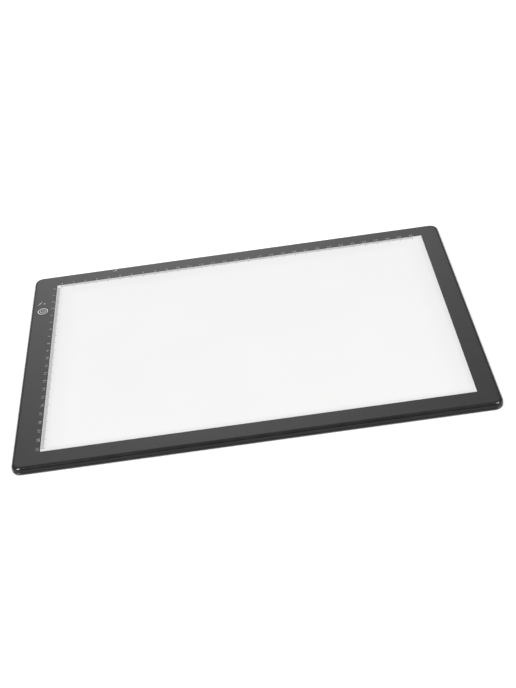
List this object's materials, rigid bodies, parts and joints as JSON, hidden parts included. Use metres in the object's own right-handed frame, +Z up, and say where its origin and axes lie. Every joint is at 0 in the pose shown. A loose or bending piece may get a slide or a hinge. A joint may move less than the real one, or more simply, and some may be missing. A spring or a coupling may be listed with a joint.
{
  "type": "film scanning light box",
  "caption": "Slim edge-lit light box for viewing and scanning film: flush white window in a black rounded frame, rulers along two window edges, round power key in the wider border.",
  "frame": {"origin": "middle of the footprint, on the plane the feet stand on", "axes": "+X along the long side, away from the border with the key; +Y to the far side with the charging socket; +Z up out of the window"},
  "size_m": [0.348, 0.25, 0.0066],
  "materials": {
    "bezel_black": "satin moulded plastic with a fine texture",
    "panel_white": "opal acrylic, semi-gloss",
    "cover_black": "fine-textured moulded plastic",
    "foot_rubber": "matt rubber",
    "screw_steel": "blackened steel",
    "tape_black": "matt film tape",
    "film_white": "white optical film",
    "guide_clear": "clear polished acrylic",
    "foam_grey": "soft foam",
    "rail_aluminium": "bare aluminium sheet",
    "strip_white": "white solder mask",
    "led_phosphor": "phosphor-filled resin",
    "key_black": "satin moulded plastic with a printed ring",
    "chip_black": "moulded epoxy or nylon",
    "switch_steel": "plated steel frame",
    "board_green": "green solder mask",
    "socket_steel": "plated sheet steel",
    "contact_brass": "plated contact strip",
    "inductor_grey": "ferrite block",
    "capacitor_tan": "fired ceramic",
    "connector_cream": "nylon",
    "lead_red": "soft insulation",
    "lead_black": "soft insulation"
  },
  "bodies": {
    "housing": {"front_bezel": "bezel_black", "window_panel": "panel_white", "back_cover": "cover_black", "rubber_feet": "foot_rubber", "cover_screws": "screw_steel", "tape_frame": "tape_black", "diffuser_film": "film_white", "light_guide": "guide_clear", "reflector_film": "film_white", "foam_strips": "foam_grey", "led_rail_left": "rail_aluminium", "led_rail_right": "rail_aluminium", "led_strip_left": "strip_white", "led_strip_right": "strip_white", "leds_left": "led_phosphor", "leds_right": "led_phosphor", "switch_body": "switch_steel", "control_board": "board_green", "usb_shell": "socket_steel", "usb_tongue": "chip_black", "usb_contacts": "contact_brass", "dimmer_chip": "chip_black", "power_transistor": "chip_black", "power_inductor": "inductor_grey", "board_capacitors": "capacitor_tan", "board_resistors": "chip_black", "lead_socket": "connector_cream", "lead_plug": "connector_cream", "red_lead": "lead_red", "black_lead": "lead_black"},
    "key": {"power_key": "key_black", "switch_plunger": "chip_black"}
  },
  "joints": [
    {"name": "key_press", "type": "slide", "parent": "housing", "child": "key", "axis": [0, 0, -1], "range_m": [0, 0.0004], "stiffness_N_per_m": 2500}
  ]
}
